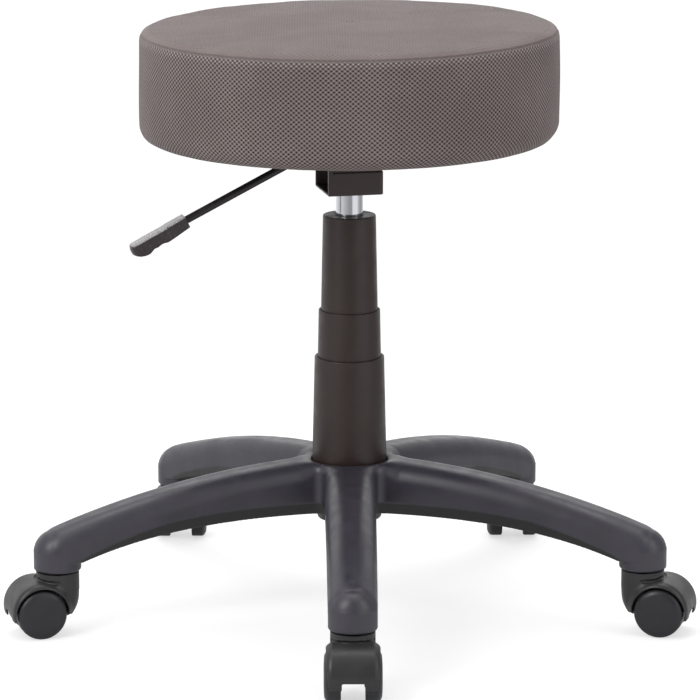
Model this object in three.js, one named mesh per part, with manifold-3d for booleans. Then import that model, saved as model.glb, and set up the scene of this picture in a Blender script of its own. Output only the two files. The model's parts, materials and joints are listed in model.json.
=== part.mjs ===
// Adjustable swivel stool: a round padded seat on a gas-lift column with telescopic covers,
// over a five-star base on twin-wheel casters. Millimetres, +Z up. The origin is on the floor
// at the centre of the footprint, and the swivel axis stands AXIS_Y behind it.
import * as THREE from "three";
import { mergeVertices } from "three/addons/utils/BufferGeometryUtils.js";
import Module from "manifold-3d";

const wasm = await Module();
wasm.setup();

// ---------------------------------------------------------------- driving dimensions

const GAP = 0.3; // clearance between pieces that touch
const WELD = 1e-3;

// Seat
const SEAT_R = 212;
const SEAT_TOP = 601.5;
const SEAT_BOTTOM = 488;
const SEAT_TOP_ROUND = 9;
const SEAT_BOTTOM_ROUND = 17;
const COVER_WALL = 1.6;
const COVER_LAP_R = 150; // inner edge of the cloth turned under the board
const BOARD_R = 187;
const BOARD_T = 12;
const DUST_COVER_R = 180;
const DUST_COVER_T = 0.7;
const T_NUT_BARREL_R = 4.05;
const T_NUT_FLANGE_R = 9.5;

// Seat mechanism, turned MECHANISM_TURN about the axis so that the lever points at the front left
const MECHANISM_TURN = THREE.MathUtils.degToRad(12);
const PLATE_SIDE = 184;
const PLATE_T = 3;
const BOLT_SPACING = 152.4;
const BOLT_R = 3;
const BOLT_HEAD_R = 5.8;
const BOLT_HEAD_T = 4;
const BRACKET_LENGTH = 57;
const BRACKET_WIDTH = 63;
const BRACKET_BOTTOM = 434.5;
const BRACKET_WALL = 2.5;
const PIVOT_X = -22; // lever's pivot, measured from the axis along the lever
const PIVOT_Z = 475.6;
const PIN_R = 2.5;
const EAR_INNER = 7.2; // distance of an ear's inner face from the lever's middle
const EAR_T = 2.5;
const ROD_R = 4;
const ROD_SLOPE = 0.502; // fall of the lever's outer part per millimetre outwards
const GRIP_START = 168;
const GRIP_END = 225;
const GRIP_WIDTH = 20;
const GRIP_HEIGHT = 15;
const GRIP_DROP = 1.8; // how far the grip's middle lies below the rod's
const GRIP_FLARE = 20; // length over which the grip grows thicker downwards

// Gas-lift column
const CYLINDER_R = 14;
const CYLINDER_WALL = 1.6;
const CYLINDER_BOTTOM = 226;
const CYLINDER_TOP = 465.6;
const TAPER_START = 436; // the cylinder narrows above here, to wedge into its socket
const TAPER_FALL = 0.8;
const PISTON_ROD_R = 5;
const COLUMN_R = 25;
const COLUMN_WALL = 1.7;
const COLUMN_BOTTOM = 86;
const COLUMN_TOP = 285;

// Telescopic covers, each with radii at its top, foot, inward lip and outward rim
const LOWER_FOOT = 150.4;
const UPPER_COVER = { top: 409.8, foot: 300, topR: 26.9, footR: 29.1, wall: 1.3, lipR: 14.4, rimR: 29.5 };
const MIDDLE_COVER = { top: 312.1, foot: 251.5, topR: 31.3, footR: 32.5, wall: 1.4, lipR: 29.35, rimR: 33 };
const LOWER_COVER = { top: 263.5, foot: LOWER_FOOT, topR: 35.5, footR: 38.2, wall: 1.8, lipR: 32.75 };
const LIP_T = 3;

// Base
const LEG_COUNT = 5;
const STEM_CIRCLE_R = 310;
const LEG_HALF_WIDTH = 25.6;
const CUP_R = 23.9;
const CUP_BOTTOM = 65.9;
const LEG_WALL = 4;
const LEG_CREST = [[44, 159], [140, 155], [235, 136], [318, 105.5]];
const LEG_NOSE_CORNER = [333, 99];
const LEG_UNDERSIDE = [[44, 105.5], [130, 108], [215, 102], [289, 75.5]];
const RIB_T = 2.5;
const RIB_PLACES = [110, 168, 226]; // distances of the cross ribs from the axis
const BAYS_START = 54;
const BAYS_END = 280;
const FOOT_RECESS_R = 38.7; // the hub's recess that the lowest cover stands in
const HUB_R = 46;
const HUB_TOP = 158.6;
const HUB_BOTTOM = 94;
const RING_BOTTOM = 112;
const RING_OUTER_R = 27.6;

// Casters
const WHEEL_R = 25;
const WHEEL_INNER = 11.75; // distance of a wheel's inner face from the caster's middle
const WHEEL_OUTER = 28.15;
const CASTER_TRAIL = 22;
const HOOD_R = 30.5;
const HOOD_Z = 28; // height of the hood's middle, a little over the wheels'
const HOOD_ROUND = 8;
const HOOD_HALF_WIDTH = 27;
const HOOD_CLEARANCE = 0.8;
const HOOD_LOWEST = 20; // underside of the web between the wheels
const WEB_HALF_WIDTH = 10.5;
const NECK_R = 21.8;
const NECK_TOP = 63.9;
const STEM_R = 5.5;
const STEM_BOTTOM = 52.4;
const STEM_TOP = 90;
const AXLE_R = 3;

// The swivel axis stands behind the footprint's centre, because a front leg reaches further
// forward than the two rear legs reach back.
const REAR_LEG_ANGLE = Math.PI / LEG_COUNT;
const AXIS_Y = (STEM_CIRCLE_R * (1 - Math.cos(REAR_LEG_ANGLE))) / 2;

// ---------------------------------------------------------------- materials

const material = (color, roughness, metalness = 0) =>
  new THREE.MeshStandardMaterial({ color, roughness, metalness });

const FABRIC = material(0x6f6866, 0.9);
const FOAM = material(0xe8e0c8, 0.95);
const PLYWOOD = material(0xc9a877, 0.8);
const BLACK_CLOTH = material(0x1b1b1c, 0.95);
const ZINC = material(0xb5b8ba, 0.35, 0.9);
const BLACK_STEEL = material(0x2d2728, 0.45, 0.3);
const CHROME = material(0xdfe2e6, 0.12, 1);
const SLEEVE_PLASTIC = material(0x3a3332, 0.55);
const BASE_NYLON = material(0x3b3a42, 0.5);
const CASTER_NYLON = material(0x3a3a3c, 0.45);
const WHEEL_NYLON = material(0x343438, 0.4);
const RUBBER = material(0x202020, 0.9);
const WHITE_PLASTIC = material(0xd8d8d2, 0.5);

// ---------------------------------------------------------------- geometry helpers

/** The geometry as one welded surface that faces outwards. */
function closed(geometry) {
  const bare = geometry.clone();
  bare.deleteAttribute("normal");
  bare.deleteAttribute("uv");
  const welded = mergeVertices(bare, WELD);
  const position = welded.getAttribute("position");
  const corners = welded.getIndex().array;
  const [a, b, c] = [new THREE.Vector3(), new THREE.Vector3(), new THREE.Vector3()];
  const kept = [];
  let volume = 0;
  for (let i = 0; i < corners.length; i += 3) {
    const [p, q, r] = corners.slice(i, i + 3);
    if (p === q || q === r || r === p) continue;
    a.fromBufferAttribute(position, p);
    b.fromBufferAttribute(position, q);
    c.fromBufferAttribute(position, r);
    volume += a.dot(b.cross(c));
    kept.push(p, q, r);
  }
  if (volume < 0) kept.reverse();
  welded.setIndex(kept);
  return welded;
}

function solid(geometry) {
  const surface = closed(geometry);
  const mesh = new wasm.Mesh({
    numProp: 3,
    vertProperties: surface.getAttribute("position").array,
    triVerts: new Uint32Array(surface.getIndex().array),
  });
  return new wasm.Manifold(mesh);
}

function geometryOf(body) {
  const mesh = body.getMesh();
  const geometry = new THREE.BufferGeometry();
  geometry.setAttribute("position", new THREE.BufferAttribute(mesh.vertProperties, 3));
  geometry.setIndex(new THREE.BufferAttribute(mesh.triVerts, 1));
  return geometry;
}

const join = (...geometries) => geometryOf(geometries.map(solid).reduce((all, next) => all.add(next)));

const cut = (geometry, ...tools) =>
  geometryOf(tools.map(solid).reduce((rest, tool) => rest.subtract(tool), solid(geometry)));

const common = (...geometries) =>
  geometryOf(geometries.map(solid).reduce((all, next) => all.intersect(next)));

/** A solid turned about Z from [radius, height] points: from axis to axis, or a closed ring. */
function turned(points, segments = 28) {
  const profile = points.map(([r, z]) => new THREE.Vector2(r, z));
  const fromAxisToAxis = points[0][0] === 0 && points.at(-1)[0] === 0;
  if (!fromAxisToAxis) profile.push(profile[0].clone());
  return new THREE.LatheGeometry(profile, segments).rotateX(Math.PI / 2);
}

const disc = (r, z0, z1, segments) => turned([[0, z0], [r, z0], [r, z1], [0, z1]], segments);

const ring = (inner, outer, z0, z1, segments) =>
  turned([[inner, z0], [outer, z0], [outer, z1], [inner, z1]], segments);

/** Points of a quarter-round or other arc, angles in degrees. */
function arc(cx, cy, r, from, to, steps) {
  return Array.from({ length: steps + 1 }, (_, i) => {
    const angle = THREE.MathUtils.degToRad(from + ((to - from) * i) / steps);
    return [cx + r * Math.cos(angle), cy + r * Math.sin(angle)];
  });
}

const outline = (points) => new THREE.Shape(points.map(([x, y]) => new THREE.Vector2(x, y)));

/** An outline in plan, from height z0 up to z1. */
function flat(shape, z0, z1) {
  return new THREE.ExtrudeGeometry(shape, { depth: z1 - z0, bevelEnabled: false }).translate(0, 0, z0);
}

/** An outline of lengths X and heights Z, given a width across Y and centred on it. */
function upright(shape, width, bevel) {
  const thickness = bevel ? bevel.bevelThickness : 0;
  const depth = width - 2 * thickness;
  return new THREE.ExtrudeGeometry(shape, { depth, bevelEnabled: Boolean(bevel), ...bevel })
    .translate(0, 0, -depth / 2)
    .rotateX(Math.PI / 2);
}

const box = (sx, sy, z0, z1, x = 0, y = 0) =>
  new THREE.BoxGeometry(sx, sy, z1 - z0).translate(x, y, (z0 + z1) / 2);

/** A cylinder lying along Y. */
const crossBar = (r, length, x, z, segments) =>
  disc(r, -length / 2, length / 2, segments).rotateX(Math.PI / 2).translate(x, 0, z);

function piece(name, geometry, look) {
  const mesh = new THREE.Mesh(closed(geometry), look);
  mesh.name = name;
  return mesh;
}

// ---------------------------------------------------------------- seat

/** The seat's outside from the underside's inner edge to the top centre, drawn in by inset. */
function seatProfile(inset, innerR, bottom) {
  const bottomCentre = [SEAT_R - SEAT_BOTTOM_ROUND, SEAT_BOTTOM + SEAT_BOTTOM_ROUND];
  const topCentre = [SEAT_R - SEAT_TOP_ROUND, SEAT_TOP - SEAT_TOP_ROUND];
  const bottomArc = arc(...bottomCentre, SEAT_BOTTOM_ROUND - inset, -90, 0, 3);
  const topArc = arc(...topCentre, SEAT_TOP_ROUND - inset, 0, 90, 2);
  return [[innerR, bottom], ...bottomArc, ...topArc, [0, SEAT_TOP - inset]];
}

const boardBottom = SEAT_BOTTOM + COVER_WALL + GAP;
const boardTop = boardBottom + BOARD_T;

/** Copies of a shape at the four bolts, in the frame of the mechanism. */
function atBolts(make) {
  const half = BOLT_SPACING / 2;
  const places = [[half, half], [-half, half], [-half, -half], [half, -half]];
  return places.map(([x, y]) => make().translate(x, y, 0));
}

const turnedAtBolts = (make) => atBolts(make).map((shape) => shape.rotateZ(MECHANISM_TURN));

function seatPieces() {
  const segments = 36;
  const outside = seatProfile(0, COVER_LAP_R, SEAT_BOTTOM);
  const inside = seatProfile(COVER_WALL, COVER_LAP_R, SEAT_BOTTOM + COVER_WALL).reverse();
  const cover = turned([...outside, ...inside, outside[0]], segments);

  const foamInset = COVER_WALL + GAP;
  const skirtR = BOARD_R + GAP;
  const foamUnder = boardTop + 1.8 + GAP; // clears the T-nuts' flanges
  const foam = turned(
    [[0, foamUnder], [skirtR, foamUnder], ...seatProfile(foamInset, skirtR, boardBottom)],
    segments,
  );

  const board = cut(
    disc(BOARD_R, boardBottom, boardTop, segments),
    ...turnedAtBolts(() => disc(T_NUT_BARREL_R + GAP, boardBottom - 1, boardTop + 1, 12)),
  );
  const dustTop = SEAT_BOTTOM - GAP;
  const dustCover = cut(
    disc(DUST_COVER_R, dustTop - DUST_COVER_T, dustTop, segments),
    ...turnedAtBolts(() => disc(BOLT_R + 0.5, dustTop - 3, dustTop + 3, 12)),
  );
  const nutBore = BOLT_R + 0.35;
  const tNut = () =>
    turned(
      [
        [nutBore, boardBottom + 3],
        [T_NUT_BARREL_R, boardBottom + 3],
        [T_NUT_BARREL_R, boardTop + GAP],
        [T_NUT_FLANGE_R, boardTop + GAP],
        [T_NUT_FLANGE_R, boardTop + 1.8],
        [nutBore, boardTop + 1.8],
      ],
      12,
    );
  return [
    piece("seat_cover", cover, FABRIC),
    piece("foam_pad", foam, FOAM),
    piece("seat_board", board, PLYWOOD),
    piece("dust_cover", dustCover, BLACK_CLOTH),
    ...turnedAtBolts(tNut).map((nut, i) => piece(`t_nut_${i + 1}`, nut, ZINC)),
  ];
}

// ---------------------------------------------------------------- mechanism under the seat

const plateTop = SEAT_BOTTOM - 2 * GAP - DUST_COVER_T;
const plateBottom = plateTop - PLATE_T;

function roundedSquare(side, corner) {
  const half = side / 2 - corner;
  return outline([
    ...arc(half, half, corner, 0, 90, 3),
    ...arc(-half, half, corner, 90, 180, 3),
    ...arc(-half, -half, corner, 180, 270, 3),
    ...arc(half, -half, corner, 270, 360, 3),
  ]);
}

function mountingPlate() {
  const ear = (side) => {
    const y = side * (EAR_INNER + EAR_T / 2);
    return box(13, EAR_T, PIVOT_Z - 5.5, plateTop - 1, PIVOT_X, y);
  };
  const plate = join(flat(roundedSquare(PLATE_SIDE, 14), plateBottom, plateTop), ear(1), ear(-1));
  const holes = atBolts(() => disc(BOLT_R + 0.4, plateBottom - 1, plateTop + 1, 12));
  return cut(plate, ...holes, crossBar(PIN_R + GAP, 40, PIVOT_X, PIVOT_Z, 12));
}

/** A steel box with walls on three sides, open at the top and at the lever's end. */
function bracket() {
  const top = plateBottom - GAP;
  const halfL = BRACKET_LENGTH / 2;
  const halfW = BRACKET_WIDTH / 2;
  const bend = 4;
  const wallOutline = (inset, back) =>
    outline([
      [back, -halfW + inset],
      ...arc(halfL - bend, -halfW + bend, bend - inset, -90, 0, 3),
      ...arc(halfL - bend, halfW - bend, bend - inset, 0, 90, 3),
      [back, halfW - inset],
    ]);
  const block = flat(wallOutline(0, -halfL), BRACKET_BOTTOM, top);
  const hollow = flat(wallOutline(BRACKET_WALL, -halfL - 1), BRACKET_BOTTOM + BRACKET_WALL, top + 1);
  const floorHole = disc(CYLINDER_R + 0.4, BRACKET_BOTTOM - 1, BRACKET_BOTTOM + 5, 28);
  return cut(block, hollow, floorHole);
}

const cylinderTaper = (z) =>
  CYLINDER_R - (TAPER_FALL * (z - TAPER_START)) / (CYLINDER_TOP - TAPER_START);

function taperSocket() {
  const bottom = BRACKET_BOTTOM + BRACKET_WALL + GAP;
  const top = CYLINDER_TOP - 4;
  return turned([
    [cylinderTaper(bottom) + 0.4, bottom],
    [19, bottom],
    [17.5, top],
    [cylinderTaper(top) + 0.4, top],
  ]);
}

/** The bolt hangs head down, its shank up through the plate and the board into a T-nut. */
function plateBolt() {
  const headTop = plateBottom - GAP;
  const headBottom = headTop - BOLT_HEAD_T;
  const chamfer = 0.7;
  const head = turned(
    [
      [0, headBottom],
      [BOLT_HEAD_R - chamfer, headBottom],
      [BOLT_HEAD_R, headBottom + chamfer],
      [BOLT_HEAD_R, headTop],
      [0, headTop],
    ],
    6,
  );
  return join(head, disc(BOLT_R, headTop - 1, boardTop - 1, 12));
}

const bendX = PIVOT_X - 17; // the rod runs level to here, and slopes down beyond
const rodHeight = (x) => PIVOT_Z - (bendX - x) * ROD_SLOPE;

function leverRod() {
  const end = -(GRIP_END - 10);
  const route = new THREE.CurvePath();
  const straightIn = new THREE.Vector3(PIVOT_X + 8, 0, PIVOT_Z);
  const bendIn = new THREE.Vector3(bendX + 4, 0, PIVOT_Z);
  const bendOut = new THREE.Vector3(bendX - 6, 0, rodHeight(bendX - 6));
  route.add(new THREE.LineCurve3(straightIn, bendIn));
  route.add(new THREE.QuadraticBezierCurve3(bendIn, new THREE.Vector3(bendX, 0, PIVOT_Z), bendOut));
  route.add(new THREE.LineCurve3(bendOut, new THREE.Vector3(end, 0, rodHeight(end))));
  const section = new THREE.Shape().absarc(0, 0, ROD_R, 0, Math.PI * 2);
  const rod = new THREE.ExtrudeGeometry(section, { extrudePath: route, steps: 12, curveSegments: 5 });
  const arm = upright(
    outline([
      [PIVOT_X - 7, PIVOT_Z - 3.5],
      [6, PIVOT_Z - 3.5],
      [8, PIVOT_Z - 1.5],
      [8, PIVOT_Z + 2],
      [6, PIVOT_Z + 3.5],
      [PIVOT_X - 7, PIVOT_Z + 3.5],
    ]),
    12,
  );
  return cut(join(rod, arm), crossBar(PIN_R + GAP, 40, PIVOT_X, PIVOT_Z, 12));
}

/** A paddle with a flat top, a rounded end and three finger bumps underneath. */
function leverGrip() {
  const length = (GRIP_END - GRIP_START) * Math.hypot(1, ROD_SLOPE);
  const top = GRIP_HEIGHT / 2 - GRIP_DROP;
  const bottom = -GRIP_HEIGHT / 2 - GRIP_DROP;
  const bumpsEnd = length - 12;
  const bumps = Array.from({ length: 13 }, (_, i) => {
    const along = GRIP_FLARE + ((bumpsEnd - GRIP_FLARE) * i) / 12;
    const swell = 1 - Math.cos((i / 12) * 6 * Math.PI);
    return [along, bottom - 0.9 * swell];
  });
  const side = outline([
    [0, top],
    [0, bottom + 2.3],
    ...bumps,
    ...arc(length - 7.5, -GRIP_DROP, 7.5, -80, 30, 4),
    [length - 4.5, top],
  ]);
  const body = upright(side, GRIP_WIDTH, {
    bevelThickness: 2.5,
    bevelSize: 2,
    bevelOffset: -2,
    bevelSegments: 2,
  });
  const bore = crossBar(ROD_R + 2 * GAP, 2 * (length - 8), 0, 0, 12).rotateZ(Math.PI / 2);
  return cut(body, bore)
    .rotateZ(Math.PI)
    .rotateY(-Math.atan(ROD_SLOPE))
    .translate(-GRIP_START, 0, rodHeight(-GRIP_START));
}

function mechanismPieces() {
  const group = new THREE.Group();
  group.rotation.z = MECHANISM_TURN;
  const pinLength = 2 * (EAR_INNER + EAR_T) + 3;
  group.add(
    piece("mounting_plate", mountingPlate(), BLACK_STEEL),
    piece("bracket", bracket(), BLACK_STEEL),
    piece("taper_socket", taperSocket(), ZINC),
    piece("lever_rod", leverRod(), BLACK_STEEL),
    piece("lever_grip", leverGrip(), CASTER_NYLON),
    piece("lever_pivot_pin", crossBar(PIN_R, pinLength, PIVOT_X, PIVOT_Z, 12), ZINC),
  );
  group.add(...atBolts(plateBolt).map((bolt, i) => piece(`plate_bolt_${i + 1}`, bolt, ZINC)));
  return group;
}

// ---------------------------------------------------------------- gas-lift column

const BUTTON_TOP = PIVOT_Z - 3.5 - GAP;

function gasCylinder() {
  const innerR = CYLINDER_R - CYLINDER_WALL;
  const headBottom = CYLINDER_TOP - 18;
  return turned([
    [innerR, CYLINDER_BOTTOM],
    [CYLINDER_R, CYLINDER_BOTTOM],
    [CYLINDER_R, TAPER_START],
    [cylinderTaper(CYLINDER_TOP - 1), CYLINDER_TOP - 1],
    [cylinderTaper(CYLINDER_TOP) - 1, CYLINDER_TOP],
    [3.3, CYLINDER_TOP],
    [3.3, headBottom],
    [innerR, headBottom],
  ]);
}

function columnPieces() {
  const rodBore = PISTON_ROD_R + GAP;
  const bushInner = CYLINDER_R + GAP;
  const bushOuter = COLUMN_R - COLUMN_WALL - GAP;
  const floorTop = COLUMN_BOTTOM + 3;
  const raceT = 2;
  const cageT = 2.5;
  const lowerRace = floorTop + GAP;
  const cage = lowerRace + raceT + GAP;
  const upperRace = cage + cageT + GAP;
  const bumper = upperRace + raceT + GAP;
  const bearing = (outer, z, t) => ring(rodBore, outer, z, z + t, 20);
  const column = turned([
    [rodBore + 0.5, COLUMN_BOTTOM],
    [COLUMN_R, COLUMN_BOTTOM],
    [COLUMN_R, COLUMN_TOP],
    [COLUMN_R - COLUMN_WALL, COLUMN_TOP],
    [COLUMN_R - COLUMN_WALL, floorTop],
    [rodBore + 0.5, floorTop],
  ]);
  const button = turned(
    [
      [0, CYLINDER_TOP - 15],
      [3, CYLINDER_TOP - 15],
      [3, BUTTON_TOP - 2.6],
      [4.5, BUTTON_TOP - 2.6],
      [4.5, BUTTON_TOP - 0.6],
      [3.8, BUTTON_TOP],
      [0, BUTTON_TOP],
    ],
    16,
  );
  const rodEnd = COLUMN_BOTTOM - 3;
  const pistonBottom = CYLINDER_BOTTOM + 21;
  const pistonRod = turned(
    [
      [0, rodEnd],
      [PISTON_ROD_R - 0.6, rodEnd],
      [PISTON_ROD_R, rodEnd + 0.6],
      [PISTON_ROD_R, pistonBottom],
      [2.5, pistonBottom],
      [2.5, pistonBottom + 12],
      [0, pistonBottom + 12],
    ],
    20,
  );
  const guideR = CYLINDER_R - CYLINDER_WALL - GAP;
  const rodGuide = ring(rodBore, guideR, CYLINDER_BOTTOM + GAP, pistonBottom - 1, 20);
  return [
    piece("gas_cylinder", gasCylinder(), CHROME),
    piece("valve_button", button, ZINC),
    piece("rod_guide", rodGuide, RUBBER),
    piece("piston_rod", pistonRod, CHROME),
    piece("piston", ring(2.8, 12, pistonBottom + GAP, pistonBottom + 11, 20), ZINC),
    piece("outer_column_tube", column, BLACK_STEEL),
    piece("guide_bush", ring(bushInner, bushOuter, 165, COLUMN_TOP - 1, 28), WHITE_PLASTIC),
    piece("bearing_lower_race", bearing(13, lowerRace, raceT), ZINC),
    piece("ball_cage", bearing(12.5, cage, cageT), WHITE_PLASTIC),
    piece("bearing_upper_race", bearing(13, upperRace, raceT), ZINC),
    piece("rubber_bumper", bearing(11, bumper, 7), RUBBER),
    piece("retaining_clip", ring(rodBore, 9.5, COLUMN_BOTTOM - 1.6, COLUMN_BOTTOM - GAP, 20), ZINC),
  ];
}

/**
 * A telescopic cover: a slightly conical tube with an inward lip at its top,
 * and an outward rim at its foot that the next cover's lip would catch.
 */
function sleeve({ top, foot, topR, footR, wall, lipR, rimR }) {
  const rim = rimR ? [[rimR, foot], [rimR, foot + 2.5], [footR, foot + 3]] : [[footR, foot]];
  return turned([
    [footR - wall, foot],
    ...rim,
    [topR, top - 1],
    [topR - 1, top],
    [lipR, top],
    [lipR, top - LIP_T],
    [topR - wall, top - LIP_T - 0.4],
  ]);
}

const sleevePieces = () => [
  piece("upper_sleeve", sleeve(UPPER_COVER), SLEEVE_PLASTIC),
  piece("middle_sleeve", sleeve(MIDDLE_COVER), SLEEVE_PLASTIC),
  piece("lower_sleeve", sleeve(LOWER_COVER), SLEEVE_PLASTIC),
];

// ---------------------------------------------------------------- base

/** Points of a quadratic or cubic Bezier curve, from its three or four control points. */
function bezier(controls, steps) {
  const points = controls.map(([x, y]) => new THREE.Vector2(x, y));
  const Curve = points.length === 3 ? THREE.QuadraticBezierCurve : THREE.CubicBezierCurve;
  return new Curve(...points).getPoints(steps).map((p) => [p.x, p.y]);
}

/** The leg's crest from the hub to the nose above the caster cup, lowered by inset. */
const crest = (inset) => bezier(LEG_CREST, 6).map(([x, z]) => [x, z - inset]);

function leg() {
  const farEnd = STEM_CIRCLE_R + CUP_R;
  const nose = bezier([LEG_CREST.at(-1), LEG_NOSE_CORNER, [farEnd, 78]], 3);
  const top = [[0, LEG_CREST[0][1]], ...crest(0), ...nose.slice(1)];
  const roundedBody = upright(outline([...top, [farEnd, 30], [0, 30]]), 2 * LEG_HALF_WIDTH, {
    bevelThickness: 14,
    bevelSize: 12,
    bevelOffset: -12,
    bevelSegments: 2,
  });
  const [rootHeight, cupHeight] = [LEG_UNDERSIDE[0][1], LEG_UNDERSIDE.at(-1)[1]];
  const side = outline([
    [0, 170],
    [farEnd + 5, 170],
    [farEnd + 5, cupHeight],
    ...bezier(LEG_UNDERSIDE, 5).reverse(),
    [0, rootHeight],
  ]);
  const plan = outline([
    [0, -LEG_HALF_WIDTH],
    [110, -LEG_HALF_WIDTH],
    ...arc(STEM_CIRCLE_R, 0, CUP_R, -90, 90, 10),
    [110, LEG_HALF_WIDTH],
    [0, LEG_HALF_WIDTH],
  ]);
  const cup = disc(CUP_R, CUP_BOTTOM, 88, 20).translate(STEM_CIRCLE_R, 0, 0);
  return join(common(roundedBody, upright(side, 70), flat(plan, 0, 200)), cup);
}

/** The hollow under a leg, in bays between cross ribs. */
function legBays() {
  const bayEdges = [BAYS_START, ...RIB_PLACES, BAYS_END];
  const [near, far] = [BAYS_START - 4, BAYS_END + 4];
  const roof = crest(LEG_WALL + 1).filter(([x]) => x > near && x < far);
  const side = outline([[near, 60], [near, 153.5], ...roof, [far, 112], [far, 60]]);
  const hollow = upright(side, 2 * (LEG_HALF_WIDTH - LEG_WALL));
  const bay = (from, to) => box(to - from - RIB_T, 60, 50, 170, (from + to) / 2);
  return bayEdges.slice(1).map((to, i) => common(hollow, bay(bayEdges[i], to)));
}

function starBase() {
  const legAngle = (i) => (i * 2 * Math.PI) / LEG_COUNT - Math.PI / 2;
  const around = (make) => Array.from({ length: LEG_COUNT }, (_, i) => make().rotateZ(legAngle(i)));
  const hub = turned(
    [
      [0, HUB_BOTTOM],
      [30, HUB_BOTTOM],
      [33, HUB_BOTTOM + 4],
      [33, 104],
      [HUB_R, 108],
      [HUB_R, HUB_TOP - 8],
      [HUB_R - 4, HUB_TOP],
      [0, HUB_TOP],
    ],
    30,
  );
  const bore = turned([
    [0, HUB_BOTTOM - 1],
    [COLUMN_R + GAP, HUB_BOTTOM - 1],
    [COLUMN_R + GAP, RING_BOTTOM],
    [RING_OUTER_R + GAP, RING_BOTTOM],
    [RING_OUTER_R + GAP, LOWER_FOOT - GAP],
    [FOOT_RECESS_R, LOWER_FOOT - GAP],
    [FOOT_RECESS_R, HUB_TOP + 1],
    [0, HUB_TOP + 1],
  ]);
  const boreR = STEM_R + GAP;
  const stemBore = () => disc(boreR, CUP_BOTTOM - 1, STEM_TOP + 2, 12).translate(STEM_CIRCLE_R, 0, 0);
  const bays = legBays().flatMap((bay) => around(() => bay.clone()));
  return cut(join(hub, ...around(leg)), bore, ...around(stemBore), ...bays);
}

// ---------------------------------------------------------------- casters

/** The housing trails along +X from the stem, and its rounded hood covers the wheels from above. */
function casterHousing() {
  const axleX = CASTER_TRAIL;
  const edge = arc(HOOD_R - HOOD_ROUND, HOOD_HALF_WIDTH - HOOD_ROUND, HOOD_ROUND, 0, 90, 3);
  const drum = turned([
    [0, -HOOD_HALF_WIDTH],
    ...edge.map(([r, y]) => [r, -y]).reverse(),
    ...edge,
    [0, HOOD_HALF_WIDTH],
  ])
    .rotateX(Math.PI / 2)
    .translate(axleX, 0, HOOD_Z);
  const aboveRims = upright(outline([[-30, 28.9], [56, 11.7], [56, 62], [-30, 62]]), 2 * NECK_R + 40);
  const webWidth = 2 * WEB_HALF_WIDTH;
  const hood = cut(
    common(drum, join(aboveRims, box(80, webWidth, HOOD_LOWEST, 62, axleX))),
    box(60, webWidth, 0, HOOD_LOWEST, axleX + 20),
  );
  const chin = outline([
    [-NECK_R - 1, NECK_TOP],
    [-NECK_R - 1, 45],
    [-20.3, 31.7],
    [-17.3, 25.5],
    [-12.8, HOOD_LOWEST],
    [NECK_R + 1, HOOD_LOWEST],
    [NECK_R + 1, NECK_TOP],
  ]);
  const neck = common(disc(NECK_R, 0, NECK_TOP, 20), upright(chin, 2 * NECK_R + 2));
  const wheelRoom = (sideSign) => {
    const width = 30;
    return crossBar(WHEEL_R + HOOD_CLEARANCE, width, axleX, WHEEL_R, 24).translate(
      0,
      sideSign * (WEB_HALF_WIDTH + width / 2),
      0,
    );
  };
  return cut(
    join(hood, neck),
    wheelRoom(1),
    wheelRoom(-1),
    crossBar(AXLE_R + GAP, 60, axleX, WHEEL_R, 12),
    disc(STEM_R + GAP, STEM_BOTTOM - 0.4, NECK_TOP + 1, 12),
  );
}

/** A wheel with a domed outer face, standing on its own axis Z with its outer face up. */
function wheelSolid() {
  return turned(
    [
      [0, WHEEL_OUTER - 3],
      [AXLE_R + GAP, WHEEL_OUTER - 3],
      [AXLE_R + GAP, WHEEL_INNER],
      [WHEEL_R, WHEEL_INNER],
      [WHEEL_R, WHEEL_INNER + 7.9],
      [23.4, 23.7],
      [18.5, 26.9],
      [10, WHEEL_OUTER],
      [0, WHEEL_OUTER],
    ],
    20,
  );
}

function caster(name, legAngle, trailAngle) {
  const group = new THREE.Group();
  group.position.set(STEM_CIRCLE_R * Math.cos(legAngle), STEM_CIRCLE_R * Math.sin(legAngle), 0);
  group.rotation.z = trailAngle;
  const axleHalf = WHEEL_OUTER - 3 - GAP;
  const stem = turned(
    [
      [0, STEM_BOTTOM],
      [STEM_R, STEM_BOTTOM],
      [STEM_R, STEM_TOP - 1],
      [STEM_R - 1, STEM_TOP],
      [0, STEM_TOP],
    ],
    12,
  );
  const wheel = (side) =>
    wheelSolid()
      .rotateX((-side * Math.PI) / 2)
      .translate(CASTER_TRAIL, 0, WHEEL_R);
  group.add(
    piece(`caster_${name}_stem`, stem, ZINC),
    piece(`caster_${name}_housing`, casterHousing(), CASTER_NYLON),
    piece(`caster_${name}_axle`, crossBar(AXLE_R, 2 * axleHalf, CASTER_TRAIL, WHEEL_R, 12), ZINC),
    piece(`caster_${name}_wheel_left`, wheel(1), WHEEL_NYLON),
    piece(`caster_${name}_wheel_right`, wheel(-1), WHEEL_NYLON),
  );
  return group;
}

/** Name of each caster, the direction of its leg and the direction it trails, in degrees. */
const CASTERS = [
  ["front", -90, -90],
  ["right", -18, -18],
  ["rear_right", 54, 90],
  ["rear_left", 126, 90],
  ["left", 198, 198],
];

// ---------------------------------------------------------------- assembly

const hubRing = ring(COLUMN_R + 0.4, RING_OUTER_R, RING_BOTTOM + GAP, LOWER_FOOT - 2 * GAP, 28);

const stool = new THREE.Group();
const aboutAxis = new THREE.Group();
aboutAxis.position.y = AXIS_Y;
aboutAxis.add(
  ...seatPieces(),
  mechanismPieces(),
  ...columnPieces(),
  ...sleevePieces(),
  piece("star_base", starBase(), BASE_NYLON),
  piece("hub_ring", hubRing, ZINC),
  ...CASTERS.map(([name, legDegrees, trailDegrees]) =>
    caster(name, THREE.MathUtils.degToRad(legDegrees), THREE.MathUtils.degToRad(trailDegrees)),
  ),
);
stool.add(aboutAxis);

export default stool;
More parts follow.
